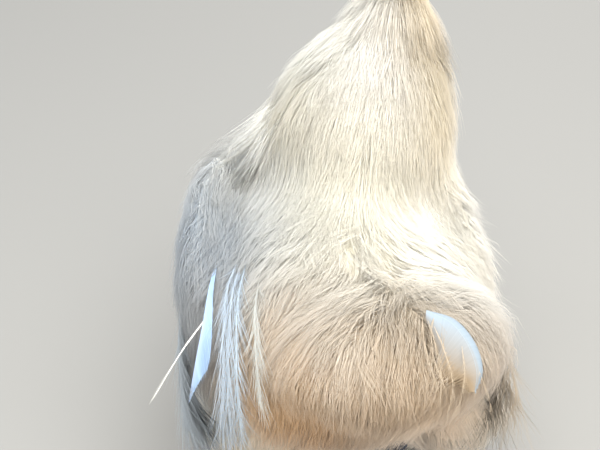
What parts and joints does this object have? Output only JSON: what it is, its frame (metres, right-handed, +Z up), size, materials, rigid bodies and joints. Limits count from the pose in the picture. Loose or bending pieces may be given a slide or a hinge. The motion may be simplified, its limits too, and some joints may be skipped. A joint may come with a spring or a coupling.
{
  "type": "silkie hen figure",
  "caption": "Life-size still figure of a cream-white silkie hen standing alert on bare floor, with crest, feathered feet and frayed wings",
  "frame": {"origin": "middle of the bounding box, on the floor the hen stands on", "axes": "+Z up, +Y the way the body faces, +X to the hen's own right"},
  "size_m": [0.2358, 0.2828, 0.3752],
  "materials": {
    "cream_coat": "soft, silky feathers in a warm cream",
    "white_coat": "soft, silky feathers in a cool white",
    "buff_coat": "soft fluff, cream turning buff towards the tips below",
    "face_skin": "dark mulberry skin, finely wrinkled, satin",
    "earlobe": "pale turquoise skin, satin",
    "leg_skin": "slate skin with small scutes, satin",
    "horn": "slate blue horn, paler at the tips, semi-gloss",
    "eye": "near-black iris and pupil, wet gloss"
  },
  "bodies": {
    "root": {"trunk": "cream_coat", "neck": "cream_coat", "tail": "buff_coat", "crest": "white_coat", "head": "face_skin", "comb": "face_skin", "upper_beak": "horn", "lower_beak": "horn", "left_wing": "white_coat", "left_flight_feathers": "white_coat", "left_thigh": "buff_coat", "left_shank": "leg_skin", "left_boot_feathers": "cream_coat", "left_eye": "eye", "left_wattle": "face_skin", "left_earlobe": "earlobe", "left_hind_toe": "leg_skin", "left_hind_claw": "horn", "left_inner_toe": "leg_skin", "left_inner_claw": "horn", "left_middle_toe": "leg_skin", "left_middle_claw": "horn", "left_outer_toe": "leg_skin", "left_outer_claw": "horn", "left_fifth_toe": "leg_skin", "left_fifth_claw": "horn", "right_wing": "white_coat", "right_flight_feathers": "white_coat", "right_thigh": "buff_coat", "right_shank": "leg_skin", "right_boot_feathers": "cream_coat", "right_eye": "eye", "right_wattle": "face_skin", "right_earlobe": "earlobe", "right_hind_toe": "leg_skin", "right_hind_claw": "horn", "right_inner_toe": "leg_skin", "right_inner_claw": "horn", "right_middle_toe": "leg_skin", "right_middle_claw": "horn", "right_outer_toe": "leg_skin", "right_outer_claw": "horn", "right_fifth_toe": "leg_skin", "right_fifth_claw": "horn"}
  },
  "joints": []
}
